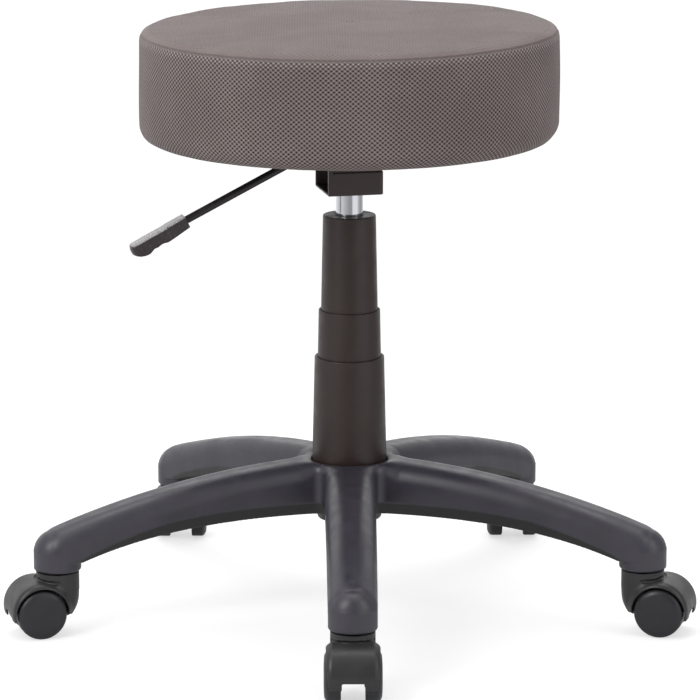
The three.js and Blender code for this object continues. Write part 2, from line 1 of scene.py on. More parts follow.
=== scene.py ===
"""Looks of the adjustable swivel stool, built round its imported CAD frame.

Shapes are worked out in millimetres about the swivel axis, and placed in the frame in metres.
"""
import json
import math

import bpy
import numpy as np
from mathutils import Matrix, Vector
from mathutils.kdtree import KDTree


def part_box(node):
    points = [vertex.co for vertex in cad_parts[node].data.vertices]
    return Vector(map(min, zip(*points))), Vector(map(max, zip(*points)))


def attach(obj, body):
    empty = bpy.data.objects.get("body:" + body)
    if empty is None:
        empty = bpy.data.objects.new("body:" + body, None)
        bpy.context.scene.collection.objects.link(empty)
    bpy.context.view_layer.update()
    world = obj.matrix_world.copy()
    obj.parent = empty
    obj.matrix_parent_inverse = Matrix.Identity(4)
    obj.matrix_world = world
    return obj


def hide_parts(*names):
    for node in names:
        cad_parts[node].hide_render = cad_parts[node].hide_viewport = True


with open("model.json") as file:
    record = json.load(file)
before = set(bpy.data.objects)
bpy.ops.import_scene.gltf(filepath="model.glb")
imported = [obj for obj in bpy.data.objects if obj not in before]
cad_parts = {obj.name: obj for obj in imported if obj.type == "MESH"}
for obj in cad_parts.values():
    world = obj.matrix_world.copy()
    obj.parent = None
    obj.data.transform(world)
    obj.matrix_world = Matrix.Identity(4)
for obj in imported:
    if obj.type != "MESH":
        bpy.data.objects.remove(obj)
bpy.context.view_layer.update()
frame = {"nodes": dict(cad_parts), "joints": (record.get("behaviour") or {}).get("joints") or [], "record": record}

MM = 0.001
TAU = 2 * math.pi
BODY_OF = {
    node: body
    for body, nodes in frame["record"]["behaviour"]["bodies"].items()
    for node in nodes
}


def middle(node):
    low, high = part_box(node)
    return (low + high) / 2


def span(node):
    """Lowest and highest point of a CAD node in millimetres."""
    low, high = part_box(node)
    return low.z / MM, high.z / MM


def half_width(node):
    """Half a CAD node's width in millimetres."""
    low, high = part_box(node)
    return (high.x - low.x) / 2 / MM


AXIS_Y = middle("gas_cylinder").y


# ---------------------------------------------------------------- camera, light and floor


# What stands round the stool: degrees to the right of the camera's side, and brightness there.
BANDS = [
    (-180, 1.1), (-120, 0.85), (-90, 0.56), (-60, 0.68), (-35, 0.5), (0, 0.33), (20, 0.34),
    (30, 0.9), (68, 0.9), (82, 0.5), (106, 0.34), (130, 0.45), (158, 1.0), (180, 1.1),
]
FLOOR_REACH = 40  # metres from the stool to the floor's edges
FLOOR_NEAR, FLOOR_FAR = 0.55, 1.3  # metres: shadows fall inside the first and fade by the second
FLOOR_GLOW = (0.1, 0.6)  # light that the near floor adds: for the stool, and in the picture
FLOOR_GREY = (0.6, 0.6, 0.6, 1)


def camera():
    """The photograph's view: a long lens, a little above the seat and looking down."""
    data = bpy.data.cameras.new("camera")
    data.sensor_width = 36
    data.lens = 205.1
    data.shift_x = 0.00086
    data.clip_end = 50
    eye = bpy.data.objects.new("camera", data)
    eye.location = (-0.0421, AXIS_Y - 3.9708, 1.155)
    eye.rotation_euler = (math.pi / 2 - 0.2195, 0, -0.0106)
    bpy.context.scene.collection.objects.link(eye)
    bpy.context.scene.camera = eye


def softbox(name, place, aim, size, watts):
    data = bpy.data.lights.new(name, "AREA")
    data.shape = "RECTANGLE"
    data.size, data.size_y = size
    data.energy = watts
    light = bpy.data.objects.new(name, data)
    light.location = place
    light.rotation_euler = (Vector(aim) - Vector(place)).to_track_quat("-Z", "Y").to_euler()
    bpy.context.scene.collection.objects.link(light)


def surroundings(nodes, direction):
    """Brightness of the walls and the far floor that way, in bands that bright metal shows."""
    x, y, _ = nodes.parts(direction)
    turn = nodes.math("ARCTAN2", x, nodes.math("MULTIPLY", y, -1.0))
    ramp = nodes.tree.nodes.new("ShaderNodeValToRGB")
    nodes.join(nodes.math("MULTIPLY_ADD", turn, 1 / TAU, 0.5), ramp.inputs[0])
    elements = ramp.color_ramp.elements
    elements.remove(elements[1])
    elements[0].position = 0
    for degrees, _ in BANDS[1:]:
        elements.new(0.5 + degrees / 360)
    for element, (_, level) in zip(elements, BANDS):
        element.color = (level, level, level, 1)
    return ramp.outputs[0]


def studio_walls():
    """White where the camera looks; for reflections a sweep in bands, and a lit ceiling."""
    world = bpy.data.worlds.new("studio")
    world.use_nodes = True
    nodes = Nodes(world.node_tree)
    direction = nodes.node("TexCoord", {}, "Generated")
    height = nodes.parts(direction)[2]
    dimmer_above = nodes.fade(height, 0.4, 0.75, 1.0, 0.8)
    sweep = nodes.math("MULTIPLY", surroundings(nodes, direction), dimmer_above)
    level = nodes.math("ADD", sweep, nodes.fade(height, 0.75, 0.95, 0.0, 0.3))
    seen = nodes.node("LightPath", {}, "Is Camera Ray")
    background = nodes.tree.nodes["Background"]
    background.inputs["Color"].default_value = (1, 1, 1, 1)
    nodes.join(nodes.blend(seen, level, 1.0), background.inputs["Strength"])
    return world


def studio():
    scene = bpy.context.scene
    scene.view_settings.view_transform = "Standard"
    scene.world = studio_walls()
    softbox("key", (-1.5, -1.4, 1.6), (0, 0, 0.3), (0.9, 1.5), 20)
    softbox("fill", (1.7, -1.0, 1.4), (0, 0, 0.3), (0.6, 1.5), 4)
    softbox("top", (0, 0.4, 2.4), (0, 0, 0.5), (1.8, 1.4), 16)

    data = bpy.data.meshes.new("floor")
    far = FLOOR_REACH
    corners = [(-far, -far, 0), (far, -far, 0), (far, far, 0), (-far, far, 0)]
    data.from_pydata(corners, [], [(0, 1, 2, 3)])
    floor = bpy.data.objects.new("floor", data)
    scene.collection.objects.link(floor)
    look = Look("floor", Roughness=0.9, Emission_Color=(1, 1, 1, 1))
    distance = look.node("VectorMath", {0: look.place()}, 1, operation="LENGTH")
    away = look.fade(distance, FLOOR_NEAR, FLOOR_FAR)
    seen = look.node("LightPath", {}, "Is Camera Ray")
    look.set("Base Color", look.mix(away, FLOOR_GREY, (0, 0, 0, 1)))
    near = look.blend(seen, *FLOOR_GLOW)
    beyond = look.blend(seen, surroundings(look, look.place()), 1.0)
    look.set("Emission Strength", look.blend(away, near, beyond))
    data.materials.append(look.material)


# ---------------------------------------------------------------- procedural materials


def srgb(*channels):
    """A colour in the shader's linear numbers, from sRGB channels of 0 to 255."""
    linear = [c / 3294.6 if c < 10.3 else ((c / 255 + 0.055) / 1.055) ** 2.4 for c in channels]
    return (*linear, 1)


def scaled(colour, factor):
    """A linear colour made darker or paler."""
    return tuple(min(1, c * factor) for c in colour[:3]) + (1,)


class Nodes:
    """Short ways to build the few node kinds that these looks need."""

    def __init__(self, tree):
        self.tree = tree

    def join(self, value, target):
        if isinstance(value, bpy.types.NodeSocket):
            self.tree.links.new(value, target)
        else:
            target.default_value = value

    def node(self, kind, inputs, output=0, **settings):
        made = self.tree.nodes.new("ShaderNode" + kind)
        for name, value in settings.items():
            setattr(made, name, value)
        for place, value in inputs.items():
            self.join(value, made.inputs[place])
        return made.outputs[output]

    def parts(self, vector):
        made = self.tree.nodes.new("ShaderNodeSeparateXYZ")
        self.join(vector, made.inputs[0])
        return made.outputs[0], made.outputs[1], made.outputs[2]

    def math(self, operation, a, b=0.0, c=0.0):
        return self.node("Math", {0: a, 1: b, 2: c}, operation=operation)

    def blend(self, share, a, b):
        return self.node("Mix", {0: share, 2: a, 3: b})

    def mix(self, share, a, b):
        return self.node("Mix", {0: share, 6: a, 7: b}, 2, data_type="RGBA")

    def fade(self, value, low, high, start=0.0, end=1.0):
        """value from low to high, mapped smoothly onto start to end."""
        inputs = {0: value, 1: low, 2: high, 3: start, 4: end}
        return self.node("MapRange", inputs, interpolation_type="SMOOTHSTEP")


class Look(Nodes):
    """A material on the Principled shader."""

    def __init__(self, name, **sockets):
        self.material = bpy.data.materials.new(name)
        self.material.use_nodes = True
        super().__init__(self.material.node_tree)
        self.shader = self.tree.nodes["Principled BSDF"]
        for socket, value in sockets.items():
            self.set(socket.replace("_", " "), value)

    def set(self, socket, value):
        self.join(value, self.shader.inputs[socket])

    def place(self):
        """Position on the piece itself, so that a pattern moves with it."""
        return self.node("TexCoord", {}, "Object")

    def facing_up(self):
        """Height of the surface's normal: 1 on level faces, 0 on upright ones."""
        return self.parts(self.node("NewGeometry", {}, "Normal"))[2]

    def noise(self, size, detail=2.0, roughness=0.5, stretch=None):
        """Noise with features of about size millimetres, stretched along an axis if asked."""
        vector = self.place()
        if stretch:
            vector = self.node("Mapping", {0: vector, 3: stretch})
        inputs = {"Vector": vector, "Scale": 1 / (size * MM)}
        return self.node("TexNoise", {**inputs, "Detail": detail, "Roughness": roughness})

    def lattice(self, a, b):
        """Staggered spots from two angles: 1 at a spot's middle and -1 midway between spots."""
        return self.math("MULTIPLY", self.math("COSINE", a), self.math("COSINE", b))

    def cells(self, size):
        """Distance to the nearest of points about size millimetres apart."""
        inputs = {"Vector": self.place(), "Scale": 1 / (size * MM)}
        return self.node("TexVoronoi", inputs, "Distance")

    def attribute(self, name):
        return self.node("Attribute", {}, "Fac", attribute_name=name)

    def edges(self, low=0.52, high=0.62):
        """1 on the sharpest convex edges: where paint wears through, and where plastic gets a painted highlight.
        """
        return self.fade(self.node("NewGeometry", {}, "Pointiness"), low, high)

    def bump(self, height, depth, strength=1.0, below=None):
        """A bump of depth millimetres, on top of another one if given."""
        inputs = {"Height": height, "Distance": depth * MM, "Strength": strength}
        if below:
            inputs["Normal"] = below
        return self.node("Bump", inputs)


def moulded_plastic(
    name, colour, roughness, grain=0.7, depth=0.03, paleness=1.35, painted_shade=None, shine=0.5
):
    """Satin plastic from a textured mould: fine grain, faint flow marks, a painted highlight on edges.

    The grain's size and depth are in millimetres. A painted shade colour, if given, goes where
    the piece's attribute for it is 1.
    """
    look = Look(name, Specular_IOR_Level=shine)
    base = srgb(*colour)
    darker, paler = scaled(base, 0.82), scaled(base, paleness)
    flow = look.noise(45, 3, 0.6)
    body = look.mix(look.fade(flow, 0.35, 0.7), darker, base)
    speck = look.fade(look.noise(1.6, 2), 0.62, 0.74)
    body = look.mix(look.math("MULTIPLY", speck, 0.35), body, paler)
    # painted highlight: the sharpest edges painted paler, as though catching the light
    body = look.mix(look.math("MULTIPLY", look.edges(), 0.6), body, paler)
    # painted shade: darker where the piece's attribute for it is 1
    if painted_shade:
        body = look.mix(look.attribute("painted_shade"), body, srgb(*painted_shade))
    look.set("Base Color", body)
    smudge = look.fade(look.noise(22, 4, 0.65), 0.3, 0.75, roughness - 0.07, roughness + 0.08)
    look.set("Roughness", look.math("ADD", smudge, look.math("MULTIPLY", speck, 0.06)))
    fine = look.bump(look.noise(grain, 2, 0.6), depth, 0.6)
    look.set("Normal", look.bump(look.noise(grain * 6, 2), depth * 1.5, 0.35, fine))
    return look.material


def grip_plastic():
    """Dark plastic, with faces that look up painted pale as a painted reflection of the light."""
    look = Look("grip_plastic", Specular_IOR_Level=0.5)
    speck = look.fade(look.noise(1.3, 3, 0.7), 0.5, 0.62)
    dark = look.mix(speck, srgb(52, 46, 48), srgb(76, 69, 71))
    painted_reflection = look.mix(speck, srgb(158, 157, 157), srgb(222, 222, 220))
    # painted reflection: faces that look up are painted pale, with paler specks
    look.set("Base Color", look.mix(look.fade(look.facing_up(), 0.3, 0.6), dark, painted_reflection))
    look.set("Roughness", look.fade(look.noise(6, 3), 0.3, 0.7, 0.3, 0.46))
    look.set("Normal", look.bump(look.noise(0.6, 2, 0.6), 0.05, 0.6))
    return look.material


def painted_steel(name, colour, roughness=0.42):
    """Powder coat: orange peel, with the metal just showing along the edges."""
    look = Look(name, Specular_IOR_Level=0.5)
    base = srgb(*colour)
    peel = look.noise(1.8, 2, 0.5)
    mottle = look.fade(look.noise(14, 3), 0.35, 0.7)
    body = look.mix(look.math("MULTIPLY", mottle, 0.5), base, scaled(base, 1.5))
    paleness = look.math("MULTIPLY", look.edges(0.54, 0.66), look.fade(look.noise(3, 3), 0.4, 0.6))
    body = look.mix(look.math("MULTIPLY", paleness, 0.5), body, srgb(150, 146, 144))
    look.set("Base Color", body)
    look.set("Roughness", look.fade(mottle, 0, 1, roughness - 0.05, roughness + 0.1))
    look.set("Metallic", look.math("MULTIPLY", paleness, 0.5))
    look.set("Normal", look.bump(peel, 0.08, 0.5))
    return look.material


def bright_metal(name, colour, roughness, streak=(1, 1, 0.05), dull=0.1, clear=0.72):
    """Plated or ground metal with fine marks drawn along the axis that streak is small on."""
    look = Look(name, Metallic=1.0)
    base = srgb(*colour)
    marks = look.noise(0.9, 3, 0.7, streak)
    cloud = look.fade(look.noise(9, 3), 0.3, 0.75)
    look.set("Base Color", look.mix(cloud, scaled(base, clear), base))
    rough = look.fade(marks, 0.35, 0.75, roughness, roughness + dull)
    look.set("Roughness", look.math("ADD", rough, look.math("MULTIPLY", cloud, dull / 2)))
    look.set("Normal", look.bump(marks, 0.006, 0.5))
    return look.material


PLY_PAIR = 3.4  # thickness of a pale ply and a dark one, in millimetres


def plywood():
    """Birch ply: grain across the faces and seven plies on the edge."""
    look = Look("plywood", Roughness=0.7)
    grain = look.noise(2.2, 4, 0.65, (0.06, 1, 1))
    face = look.mix(look.fade(grain, 0.3, 0.7), srgb(176, 138, 92), srgb(214, 182, 136))
    height = look.parts(look.place())[2]
    plies = look.math("SINE", look.math("MULTIPLY", height, TAU / (PLY_PAIR * MM)))
    side = look.mix(look.fade(plies, -0.3, 0.3), srgb(140, 104, 66), srgb(206, 172, 124))
    flat = look.fade(look.math("ABSOLUTE", look.facing_up()), 0.5, 0.8)
    look.set("Base Color", look.mix(flat, side, face))
    look.set("Normal", look.bump(grain, 0.15, 0.5))
    return look.material


def foam():
    """Open-celled cushion foam."""
    look = Look("foam", Roughness=0.95, Subsurface_Weight=0.1)
    pores = look.cells(1.6)
    wall = look.fade(pores, 0.1, 0.6)
    look.set("Base Color", look.mix(wall, srgb(196, 182, 140), srgb(232, 222, 190)))
    look.set("Normal", look.bump(pores, 0.5, 0.8))
    return look.material


BOND_PITCH = 2.4  # millimetres between rows of heat bonds


def nonwoven():
    """Spun-bonded black cloth with its grid of small heat bonds."""
    look = Look("nonwoven_cloth", Roughness=0.95, Sheen_Weight=0.3)
    x, y, _ = look.parts(look.place())
    pitch = TAU / (BOND_PITCH * MM)
    wave = look.lattice(look.math("MULTIPLY", x, pitch), look.math("MULTIPLY", y, pitch))
    bond = look.fade(wave, 0.35, 0.8)
    fibres = look.noise(0.7, 4, 0.75)
    cloth = look.mix(look.fade(fibres, 0.3, 0.7), srgb(20, 20, 21), srgb(46, 46, 48))
    look.set("Base Color", look.mix(bond, cloth, srgb(14, 14, 15)))
    lofty = look.bump(fibres, 0.25, 0.7)
    look.set("Normal", look.bump(look.math("MULTIPLY", bond, -1.0), 0.3, 0.8, lofty))
    return look.material


def soft_rubber():
    """Black rubber with a faint grey bloom."""
    look = Look("rubber", Specular_IOR_Level=0.35)
    bloom = look.fade(look.noise(8, 4), 0.3, 0.7)
    look.set("Base Color", look.mix(bloom, srgb(22, 22, 23), srgb(40, 39, 38)))
    look.set("Roughness", look.fade(bloom, 0, 1, 0.75, 0.92))
    look.set("Normal", look.bump(look.noise(0.8, 3), 0.06, 0.6))
    return look.material


HOLES_AROUND = 255.0  # columns of holes round the seat's side
HOLE_ROW = 4.5  # height of a pair of staggered rows of holes, in millimetres
HOLE_COLUMN = 5.2  # width of a pair of staggered columns on the seat's top
STITCHES_AROUND = 380.0


def air_mesh():
    """Spacer mesh: staggered holes down to a dark backing, between lighter crossing threads.

    It reads the cushion's point values: run is the distance along the outline in millimetres,
    on_top is 1 inside the seam, seam is 1 along it, shoulder is the paler band just below
    it, and closed is where the seam's folded edges close the holes.
    """
    look = Look("air_mesh", Sheen_Weight=0.08, Sheen_Roughness=0.45, Specular_IOR_Level=0.25)
    x, y, _ = look.parts(look.place())
    y = look.math("SUBTRACT", y, AXIS_Y)
    angle = look.math("ARCTAN2", y, x)
    run, on_top, seam, shoulder, closed = (
        look.attribute(name) for name in ("run", "on_top", "seam", "shoulder", "closed")
    )
    side = look.lattice(look.math("MULTIPLY", angle, HOLES_AROUND),
                        look.math("MULTIPLY", run, TAU / HOLE_ROW))
    top = look.lattice(look.math("MULTIPLY", x, TAU / (HOLE_COLUMN * MM)),
                       look.math("MULTIPLY", y, TAU / (HOLE_ROW * MM)))
    weave = look.blend(closed, look.blend(on_top, side, top), -0.3)

    yarn = look.noise(0.55, 3, 0.7)
    cloud = look.fade(look.noise(70, 3, 0.55), 0.3, 0.7)
    thread = look.mix(cloud, srgb(118, 106, 104), srgb(128, 116, 114))
    bright = look.mix(cloud, srgb(156, 145, 143), srgb(168, 157, 155))
    bright = look.mix(shoulder, bright, srgb(208, 198, 198))
    crossing = look.fade(weave, -0.2, -0.95)
    cloth = look.mix(crossing, thread, bright)
    fuzz = look.fade(yarn, 0.3, 0.75, 0.0, 0.28)
    cloth = look.mix(fuzz, cloth, srgb(84, 76, 74))
    hole = look.fade(weave, 0.22, 0.78)
    cloth = look.mix(hole, cloth, look.mix(shoulder, srgb(38, 31, 31), srgb(84, 75, 76)))
    cloth = look.mix(look.math("MULTIPLY", seam, 0.5), cloth, srgb(104, 95, 95))
    look.set("Base Color", cloth)
    look.set("Roughness", look.fade(hole, 0, 1, 0.72, 0.95))

    stitches = look.math("SINE", look.math("MULTIPLY", angle, STITCHES_AROUND))
    pucker = look.math("MULTIPLY", seam, stitches)
    threads = look.bump(yarn, 0.12, 0.6)
    height = look.math("SUBTRACT", look.math("MULTIPLY", crossing, 0.35), hole)
    woven = look.bump(height, 0.55, 0.85, threads)
    look.set("Normal", look.bump(pucker, 0.3, 0.6, woven))
    return look.material


# ---------------------------------------------------------------- mesh building


def mesh_object(name, points, faces, sharp=38):
    """A smooth-shaded object from points in millimetres about the swivel axis."""
    places = np.array(points, float) * MM
    places[:, 1] += AXIS_Y
    mesh = bpy.data.meshes.new(name)
    if isinstance(faces, np.ndarray):
        count, corners = faces.shape
        mesh.vertices.add(len(places))
        mesh.vertices.foreach_set("co", places.astype(np.float32).ravel())
        mesh.loops.add(faces.size)
        mesh.loops.foreach_set("vertex_index", faces.astype(np.int32).ravel())
        mesh.polygons.add(count)
        mesh.polygons.foreach_set("loop_start", np.arange(0, faces.size, corners, dtype=np.int32))
        mesh.update(calc_edges=True)
    else:
        mesh.from_pydata(places.tolist(), [], faces)
    mesh.validate()
    mesh.shade_smooth()
    if sharp:
        mesh.set_sharp_from_angle(angle=math.radians(sharp))
    made = bpy.data.objects.new(name, mesh)
    bpy.context.scene.collection.objects.link(made)
    return made


def point_values(piece, name, values):
    """A number on each point of a piece, for its material to read."""
    layer = piece.data.attributes.new(name, "FLOAT", "POINT")
    layer.data.foreach_set("value", values.astype(np.float32))


def fit(piece, look, slot, *nodes):
    """piece stands for these CAD nodes: it takes their place and rides on their body."""
    piece.data.materials.append(look)
    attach(piece, BODY_OF[nodes[0]])
    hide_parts(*nodes)
    return piece


def turned(points, angle):
    """Points turned about the Z axis."""
    c, s = math.cos(angle), math.sin(angle)
    spun = np.array(points, float)
    x, y = spun[:, 0].copy(), spun[:, 1].copy()
    spun[:, 0], spun[:, 1] = c * x - s * y, s * x + c * y
    return spun


def eased(profile, steps=4):
    """A closed outline of (r, z, rounding) corners as (r, z) points with rounded corners."""
    points = []
    for i, (r, z, rounding) in enumerate(profile):
        corner = Vector((r, z))
        if not rounding:
            points.append((r, z))
            continue
        before = Vector(profile[i - 1][:2]) - corner
        after = Vector(profile[(i + 1) % len(profile)][:2]) - corner
        reach = min(rounding, before.length * 0.45, after.length * 0.45)
        start, end = corner + before.normalized() * reach, corner + after.normalized() * reach
        for k in range(steps + 1):
            t = k / steps
            points.append(tuple(start.lerp(corner, t).lerp(corner.lerp(end, t), t)))
    return points


def lathe(profile, segments=96):
    """A surface turned about Z. An outline from axis to axis is capped there; any other closes."""
    open_ended = any(r < 1e-6 for r, _ in profile)
    points, rings = [], []
    for r, z in profile:
        if r < 1e-6:
            rings.append([len(points)] * segments)
            points.append((0, 0, z))
            continue
        rings.append(list(range(len(points), len(points) + segments)))
        points += [(r * math.cos(TAU * k / segments), r * math.sin(TAU * k / segments), z)
                   for k in range(segments)]
    pairs = list(zip(rings, rings[1:])) + ([] if open_ended else [(rings[-1], rings[0])])
    faces = []
    for a, b in pairs:
        for k in range(segments):
            n = (k + 1) % segments
            corners = [a[k], a[n], b[n], b[k]]
            faces.append([c for i, c in enumerate(corners) if c != corners[i - 1]])
    return np.array(points), faces


def round_and(a, b, r):
    """Signed distance to what two solids share, with the edge between them rounded."""
    return np.minimum(-r, np.maximum(a, b)) + np.hypot(np.maximum(r + a, 0), np.maximum(r + b, 0))


def round_or(a, b, r):
    """Signed distance to two solids together, with a fillet between them."""
    return np.maximum(r, np.minimum(a, b)) - np.hypot(np.maximum(r - a, 0), np.maximum(r - b, 0))


BLOCK = 4  # samples along each edge of a block


def sampled(distance, low, high, step):
    """The signed distance on a grid, worked out in full only in blocks near the surface."""
    low = np.array(low, float)
    counts = [math.ceil((b - a) / step / BLOCK) for a, b in zip(low, high)]
    edge = BLOCK * step
    index = np.indices(counts).reshape(3, -1).T
    rough = distance(low + (index + 0.5) * edge - 0.5 * step)
    values = np.empty([c * BLOCK for c in counts], np.float32)
    blocks = values.reshape(counts[0], BLOCK, counts[1], BLOCK, counts[2], BLOCK)
    blocks = blocks.transpose(0, 2, 4, 1, 3, 5)
    blocks[...] = rough.reshape(*counts, 1, 1, 1)
    near = index[np.abs(rough) < edge * 1.3]
    inner = np.indices((BLOCK,) * 3).reshape(3, -1).T * step
    for part in np.array_split(near, max(1, len(near) // 6000)):
        points = (low + part * edge)[:, None, :] + inner[None]
        exact = distance(points.reshape(-1, 3)).reshape(-1, BLOCK, BLOCK, BLOCK)
        blocks[part[:, 0], part[:, 1], part[:, 2]] = exact
    return values


def iso_surface(distance, low, high, step, sweeps=2):
    """The surface where the signed distance is nought, as points and four-sided faces.

    Each sweep at the end moves the points closer to the surface along its slope.
    """
    values = sampled(distance, low, high, step)
    solid = values < 0
    offsets = np.indices((2, 2, 2)).reshape(3, -1).T
    shape = np.array(solid.shape) - 1
    corner = [solid[x:x + shape[0], y:y + shape[1], z:z + shape[2]] for x, y, z in offsets]
    inside = sum(c.astype(np.int8) for c in corner)
    active = (inside > 0) & (inside < 8)
    cell = np.argwhere(active)
    number = np.full(active.shape, -1, np.int32)
    number[active] = np.arange(len(cell))
    at = [values[cell[:, 0] + x, cell[:, 1] + y, cell[:, 2] + z] for x, y, z in offsets]
    total, hits = np.zeros((len(cell), 3)), np.zeros(len(cell))
    for a in range(8):
        for b in range(a + 1, 8):
            if np.abs(offsets[a] - offsets[b]).sum() != 1:
                continue
            crossed = (at[a] < 0) != (at[b] < 0)
            share = at[a][crossed] / (at[a][crossed] - at[b][crossed])
            total[crossed] += offsets[a] + share[:, None] * (offsets[b] - offsets[a])
            hits[crossed] += 1
    points = np.array(low) + (cell + total / hits[:, None]) * step

    faces = []
    for axis in range(3):
        u, v = (axis + 1) % 3, (axis + 2) % 3
        ahead = np.roll(solid, -1, axis)
        differs = solid != ahead
        limits = [slice(1, -1)] * 3
        limits[axis] = slice(0, -1)
        start = np.zeros(3, int)
        start[[u, v]] = 1
        edge = np.argwhere(differs[tuple(limits)]) + start
        outward = solid[edge[:, 0], edge[:, 1], edge[:, 2]]
        eu, ev = np.eye(3, dtype=int)[u], np.eye(3, dtype=int)[v]
        ring = [edge - eu - ev, edge - ev, edge, edge - eu]
        quad = np.stack([number[c[:, 0], c[:, 1], c[:, 2]] for c in ring], 1)
        quad[~outward] = quad[~outward][:, ::-1]
        faces.append(quad)
    faces = np.concatenate(faces)

    reach = 0.15 * step
    for _ in range(sweeps):
        value = distance(points)
        slope = np.stack(
            [distance(points + reach * e) - distance(points - reach * e) for e in np.eye(3)], 1
        ) / (2 * reach)
        move = -(value / np.maximum((slope ** 2).sum(1), 0.25))[:, None] * slope
        length = np.linalg.norm(move, axis=1, keepdims=True)
        points += move * np.minimum(1, 0.6 * step / np.maximum(length, 1e-9))
    return points, faces


def bezier(controls, steps=80):
    """Points of a quadratic or cubic Bezier curve."""
    t = np.linspace(0, 1, steps)[:, None]
    points = [np.array(c, float) for c in controls]
    curves = [p + 0 * t for p in points]
    while len(curves) > 1:
        curves = [a + (b - a) * t for a, b in zip(curves, curves[1:])]
    return curves[0]


# ---------------------------------------------------------------- seat

SEAT_LOW, SEAT_HIGH = span("seat_cover")
SEAT_R = half_width("seat_cover")
TOP_ROUND = 12.0
BOTTOM_ROUND = 17.0
FOLD_R = 140  # inner edge of the cloth turned under the board
FOLD_T = 1.4
SEAM_ANGLE = math.radians(33)  # how far up the top's rounding the seam runs
LEAN = 0.01  # the pad sits a little higher on the right, as photographed
INSET = 0.5  # how much smaller the pad starts, before it swells
SWELL = 5.0  # the largest move of the cover when the pad is filled
SWELL_FRAMES = 20


def seat_outline(inset=0.0, fine=1.0):
    """The pad from the underside's centre to the top's: points, and each one's outward normal."""
    foot = (SEAT_R - BOTTOM_ROUND, SEAT_LOW + BOTTOM_ROUND)
    head = (SEAT_R - TOP_ROUND, SEAT_HIGH - TOP_ROUND)
    points = []
    for r in np.arange(0, foot[0], 6 * fine):
        folded = min(1, max(0, (r - FOLD_R) / 12))
        points.append((r, SEAT_LOW + FOLD_T - 1.3 * folded))
    normals = [(0, -1)] * len(points)
    for a in np.linspace(-math.pi / 2, 0, round(24 / fine)):
        points.append((foot[0] + BOTTOM_ROUND * math.cos(a), foot[1] + BOTTOM_ROUND * math.sin(a)))
        normals.append((math.cos(a), math.sin(a)))
    for z in np.arange(foot[1] + 2 * fine, head[1] - fine, 2 * fine):
        points.append((SEAT_R, z))
        normals.append((1, 0))
    for a in np.linspace(0, math.pi / 2, round(30 / fine)):
        points.append((head[0] + TOP_ROUND * math.cos(a), head[1] + TOP_ROUND * math.sin(a)))
        normals.append((math.cos(a), math.sin(a)))
    for r in np.arange(head[0] - 2.5 * fine, 1, -2.5 * fine):
        points.append((r, SEAT_HIGH))
        normals.append((0, 1))
    points.append((0, SEAT_HIGH))
    normals.append((0, 1))
    points, normals = np.array(points), np.array(normals, float)
    return points - inset * normals, normals


def swollen(rest):
    """How far each rest point moves when the pad is filled, from a cloth simulation."""
    outline, _ = seat_outline(INSET, 2.5)
    outline[0, 0] = outline[-1, 0] = 0
    pad = mesh_object("pad_simulation", *lathe([tuple(p) for p in outline], 72), sharp=0)
    remesh = pad.modifiers.new("remesh", "REMESH")
    remesh.mode = "VOXEL"
    remesh.voxel_size = 6 * MM
    shown = pad.evaluated_get(bpy.context.evaluated_depsgraph_get())
    pad.modifiers.clear()
    pad.data = bpy.data.meshes.new_from_object(shown)
    start = np.empty(len(pad.data.vertices) * 3)
    pad.data.vertices.foreach_get("co", start)
    start = start.reshape(-1, 3)
    radius = np.hypot(start[:, 0], start[:, 1] - AXIS_Y) / MM
    held = np.flatnonzero((start[:, 2] / MM < SEAT_LOW + 5) & (radius < SEAT_R - 24))
    group = pad.vertex_groups.new(name="held")
    group.add([int(i) for i in held], 1.0, "REPLACE")
    cloth = pad.modifiers.new("cloth", "CLOTH")
    for setting, value in (
        ("quality", 5),
        ("mass", 0.3),
        ("tension_stiffness", 25),
        ("compression_stiffness", 25),
        ("shear_stiffness", 8),
        ("bending_stiffness", 1.5),
        ("use_pressure", True),
        ("uniform_pressure_force", 4),
        ("vertex_group_mass", "held"),
    ):
        setattr(cloth.settings, setting, value)
    cloth.settings.effector_weights.gravity = 0
    scene = bpy.context.scene
    for number in range(1, SWELL_FRAMES + 1):
        scene.frame_set(number)
    filled = pad.evaluated_get(bpy.context.evaluated_depsgraph_get()).data
    end = np.empty(len(filled.vertices) * 3)
    filled.vertices.foreach_get("co", end)
    shift = (end.reshape(-1, 3) - start) / MM
    shift *= SWELL / np.linalg.norm(shift, axis=1).max()
    bpy.data.objects.remove(pad)
    scene.frame_set(1)

    near = KDTree(len(start))
    for i, p in enumerate(start / MM - (0, AXIS_Y / MM, 0)):
        near.insert(p, i)
    near.balance()
    moves = np.zeros_like(rest)
    for i, p in enumerate(rest):
        found = near.find_n(p, 10)
        weights = np.array([1 / (d + 2) ** 2 for _, _, d in found])
        moves[i] = weights @ shift[[k for _, k, _ in found]] / weights.sum()
    return moves


